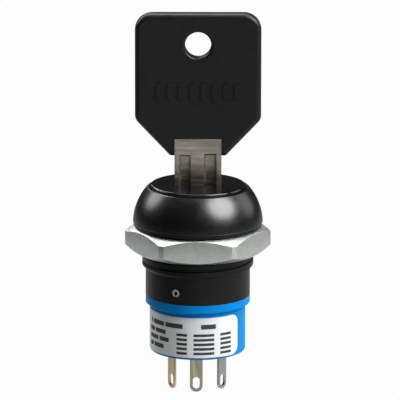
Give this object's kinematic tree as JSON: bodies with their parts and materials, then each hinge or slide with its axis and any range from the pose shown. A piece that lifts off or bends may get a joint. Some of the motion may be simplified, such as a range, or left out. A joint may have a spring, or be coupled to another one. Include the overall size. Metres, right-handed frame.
{
  "type": "selector key switch",
  "caption": "Panel-mount key switch: domed black lock head with flat key, hex nut on a threaded body, and a blue contact block with solder lugs below.",
  "frame": {"origin": "centre of the panel seat, the flat underside of the bezel flange", "axes": "+Z along the lock axis towards the key, -Y the front that the key's flat side faces, +X to the right seen from the front"},
  "size_m": [0.0248, 0.0222, 0.065],
  "materials": {
    "bow_plastic": "satin black moulded plastic",
    "nickel_silver": "rolled nickel silver with milled grooves",
    "gloss_black": "glossy black plated zinc",
    "satin_black": "satin black plated zinc",
    "plated_nut": "satin nickel plate",
    "black_fibre": "pressed fibre",
    "brass": "machined brass",
    "spring_steel": "drawn spring steel",
    "seal_rubber": "moulded rubber",
    "blue_plastic": "bright blue moulded plastic",
    "white_nylon": "moulded nylon",
    "phenolic": "pressed phenolic",
    "epoxy": "cured potting resin",
    "lug_plate": "tinned brass strip",
    "silver": "silver contact metal",
    "label_stock": "white coated label"
  },
  "bodies": {
    "housing": {"lock_housing": "satin_black", "dome_bezel": "gloss_black", "roll_pin_front": "spring_steel", "roll_pin_rear": "spring_steel", "switch_case": "blue_plastic", "terminal_base": "phenolic", "epoxy_seal": "epoxy", "common_terminal": "lug_plate", "left_terminal": "lug_plate", "right_terminal": "lug_plate", "common_contact": "silver", "left_contact": "silver", "right_contact": "silver", "rating_label": "label_stock"},
    "plug": {"lock_plug": "brass", "plug_face": "gloss_black", "plug_o_ring": "seal_rubber", "wafer_1": "brass", "wafer_2": "brass", "wafer_3": "brass", "wafer_4": "brass", "wafer_5": "brass", "wafer_6": "brass", "wafer_springs": "spring_steel", "retaining_clip": "spring_steel", "contact_rotor": "white_nylon", "detent_spring": "spring_steel", "contact_spring": "spring_steel", "wiper_contact": "silver"},
    "key": {"key_bow": "bow_plastic", "key_blade": "nickel_silver"},
    "right_ball": {"detent_ball_right": "spring_steel"},
    "left_ball": {"detent_ball_left": "spring_steel"},
    "washer": {"nut_washer": "black_fibre"},
    "nut": {"hex_nut": "plated_nut"}
  },
  "joints": [
    {"name": "key_turn", "type": "hinge", "parent": "housing", "child": "plug", "pos_m": [0, 0, 0], "axis": [0, 0, -1], "range_deg": [0, 90]},
    {"name": "key_slide", "type": "slide", "parent": "plug", "child": "key", "axis": [0, 0, 1], "range_m": [0, 0.018]},
    {"name": "right_ball_slide", "type": "slide", "parent": "plug", "child": "right_ball", "axis": [1, 0, 0], "range_m": [0, 0.00025]},
    {"name": "left_ball_slide", "type": "slide", "parent": "plug", "child": "left_ball", "axis": [-1, 0, 0], "range_m": [0, 0.00025]},
    {"name": "nut_travel", "type": "slide", "parent": "housing", "child": "washer", "axis": [0, 0, -1], "range_m": [0, 0.0051]},
    {"name": "nut_turn", "type": "hinge", "parent": "washer", "child": "nut", "pos_m": [0, 0, -0.0023], "axis": [0, 0, -1], "range_deg": [0, 1440]}
  ],
  "couplings": [
    {"joint": "nut_travel", "follows": "nut_turn", "m_per_rad": 0.00020213}
  ]
}
